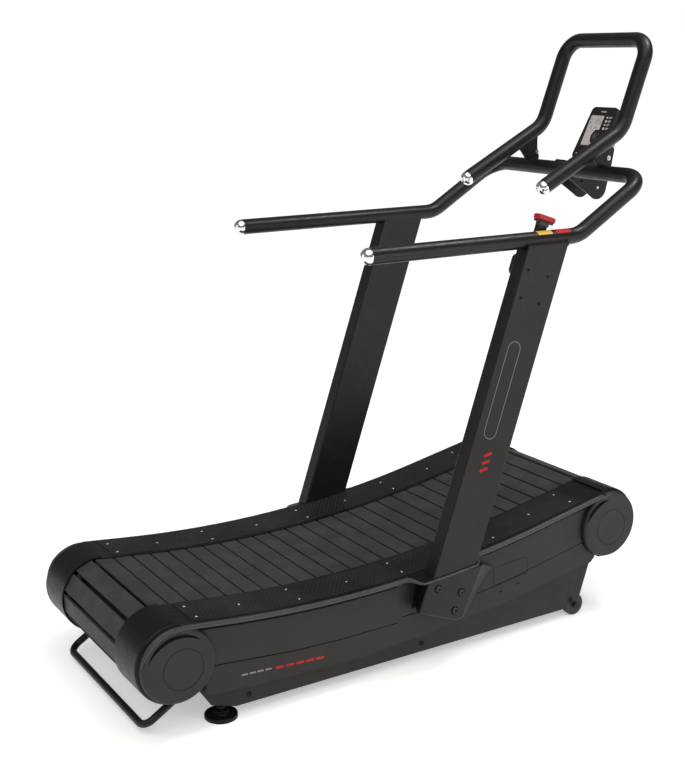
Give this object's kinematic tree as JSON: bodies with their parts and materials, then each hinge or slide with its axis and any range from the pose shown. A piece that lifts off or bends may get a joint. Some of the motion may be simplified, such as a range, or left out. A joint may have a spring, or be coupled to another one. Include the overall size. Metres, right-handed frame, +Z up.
{
  "type": "curved manual treadmill",
  "caption": "Self-powered treadmill with a curved slat belt, leaning uprights, long handrails, a raised grab handle and a small console.",
  "frame": {"origin": "on the floor under the middle of the whole machine", "axes": "+X is the way the runner faces, towards the console; +Y is the runner's left; +Z is up"},
  "size_m": [1.9329, 0.822, 1.8725],
  "materials": {
    "powder_coat": "satin black powder coat",
    "chassis_paint": "satin dark grey powder coat",
    "slat_rubber": "fine-grained matt rubber on slats",
    "carrier_rubber": "matt black rubber",
    "trim_plastic": "satin black moulded plastic",
    "grip_rubber": "diamond-textured anti-slip sheet",
    "cover_plastic": "satin charcoal ABS",
    "disc_plastic": "satin charcoal ABS",
    "steel": "turned steel",
    "zinc": "bright zinc-plated steel",
    "chrome_cap": "mirror chrome",
    "black_bolt": "black oxide",
    "aluminium": "machined aluminium",
    "console_plastic": "fine-textured black ABS",
    "display_glass": "pale grey liquid-crystal window",
    "button_plastic": "glossy black",
    "knob_red": "semi-gloss red",
    "wheel_rubber": "hard black rubber",
    "foot_rubber": "matt black rubber"
  },
  "bodies": {
    "frame": {"left_side_plate": "chassis_paint", "right_side_plate": "chassis_paint", "cross_members": "chassis_paint", "bearing_rails": "chassis_paint", "support_bearings": "steel", "belt_slats": "slat_rubber", "carrier_belts": "carrier_rubber", "bearing_blocks": "chassis_paint", "tension_screws": "zinc", "brake_belt": "carrier_rubber", "brake_pins": "steel", "left_trim": "trim_plastic", "right_trim": "trim_plastic", "grip_pads": "grip_rubber", "trim_screws": "zinc", "rear_left_end_cover": "trim_plastic", "rear_right_end_cover": "trim_plastic", "front_left_end_cover": "trim_plastic", "front_right_end_cover": "trim_plastic", "end_discs": "disc_plastic", "left_upper_cover": "cover_plastic", "right_upper_cover": "cover_plastic", "left_lower_cover": "cover_plastic", "right_lower_cover": "cover_plastic", "left_upright": "powder_coat", "right_upright": "powder_coat", "left_upright_bracket": "powder_coat", "right_upright_bracket": "powder_coat", "upright_bolts": "black_bolt", "upright_spacers": "steel", "handrail": "powder_coat", "tube_end_caps": "chrome_cap", "upper_handle": "powder_coat", "handle_gussets": "powder_coat", "gusset_bolts": "zinc", "console_bracket": "powder_coat", "console_housing": "console_plastic", "console_back": "console_plastic", "console_display": "display_glass", "lever_housing": "powder_coat", "lift_bar": "powder_coat", "wheel_axles": "black_bolt"},
    "front_roller": {"front_drum": "chassis_paint", "front_shaft": "steel", "drive_pulley": "aluminium"},
    "rear_roller": {"rear_drum": "chassis_paint", "rear_shaft": "steel"},
    "brake_flywheel": {"flywheel": "aluminium"},
    "brake_yoke": {"magnet_yoke": "zinc"},
    "lever": {"lever_arm": "powder_coat", "lever_knob": "knob_red"},
    "dial_button": {"console_dial_button": "button_plastic"},
    "left_key": {"console_left_key": "button_plastic"},
    "right_key": {"console_right_key": "button_plastic"},
    "left_transport_wheel": {"left_wheel": "wheel_rubber"},
    "right_transport_wheel": {"right_wheel": "wheel_rubber"},
    "left_foot": {"left_foot_pad": "foot_rubber", "left_foot_stud": "black_bolt"},
    "right_foot": {"right_foot_pad": "foot_rubber", "right_foot_stud": "black_bolt"}
  },
  "joints": [
    {"name": "front_roller_spin", "type": "hinge", "parent": "frame", "child": "front_roller", "pos_m": [0.698, 0, 0.315], "axis": [0, 1, 0], "continuous": true},
    {"name": "rear_roller_spin", "type": "hinge", "parent": "frame", "child": "rear_roller", "pos_m": [-0.846, 0, 0.226], "axis": [0, 1, 0], "continuous": true},
    {"name": "flywheel_spin", "type": "hinge", "parent": "frame", "child": "brake_flywheel", "pos_m": [0.43, 0, 0.18], "axis": [0, 1, 0], "continuous": true},
    {"name": "lever_swing", "type": "hinge", "parent": "frame", "child": "lever", "pos_m": [0.3555, 0, 1.21], "axis": [0, 1, 0], "range_deg": [-25, 20]},
    {"name": "yoke_swing", "type": "hinge", "parent": "frame", "child": "brake_yoke", "pos_m": [0.29, 0, 0.11], "axis": [0, 1, 0], "range_deg": [-8, 10]},
    {"name": "dial_press", "type": "slide", "parent": "frame", "child": "dial_button", "axis": [0.8965, 0, -0.4431], "range_m": [0, 0.0015], "stiffness_N_per_m": 400, "springref_m": -0.0006},
    {"name": "left_key_press", "type": "slide", "parent": "frame", "child": "left_key", "axis": [0.8965, 0, -0.4431], "range_m": [0, 0.0015], "stiffness_N_per_m": 400, "springref_m": -0.0006},
    {"name": "right_key_press", "type": "slide", "parent": "frame", "child": "right_key", "axis": [0.8965, 0, -0.4431], "range_m": [0, 0.0015], "stiffness_N_per_m": 400, "springref_m": -0.0006},
    {"name": "left_wheel_roll", "type": "hinge", "parent": "frame", "child": "left_transport_wheel", "pos_m": [0.605, 0.303, 0.036], "axis": [0, 1, 0], "continuous": true},
    {"name": "right_wheel_roll", "type": "hinge", "parent": "frame", "child": "right_transport_wheel", "pos_m": [0.605, -0.303, 0.036], "axis": [0, 1, 0], "continuous": true},
    {"name": "left_foot_turn", "type": "hinge", "parent": "frame", "child": "left_foot", "pos_m": [-0.69, 0.291, 0], "axis": [0, 0, 1], "continuous": true},
    {"name": "right_foot_turn", "type": "hinge", "parent": "frame", "child": "right_foot", "pos_m": [-0.69, -0.291, 0], "axis": [0, 0, 1], "continuous": true}
  ],
  "couplings": [
    {"joint": "rear_roller_spin", "follows": "front_roller_spin", "ratio": 1},
    {"joint": "flywheel_spin", "follows": "front_roller_spin", "ratio": 2.6923},
    {"joint": "yoke_swing", "follows": "lever_swing", "ratio": -0.3}
  ]
}
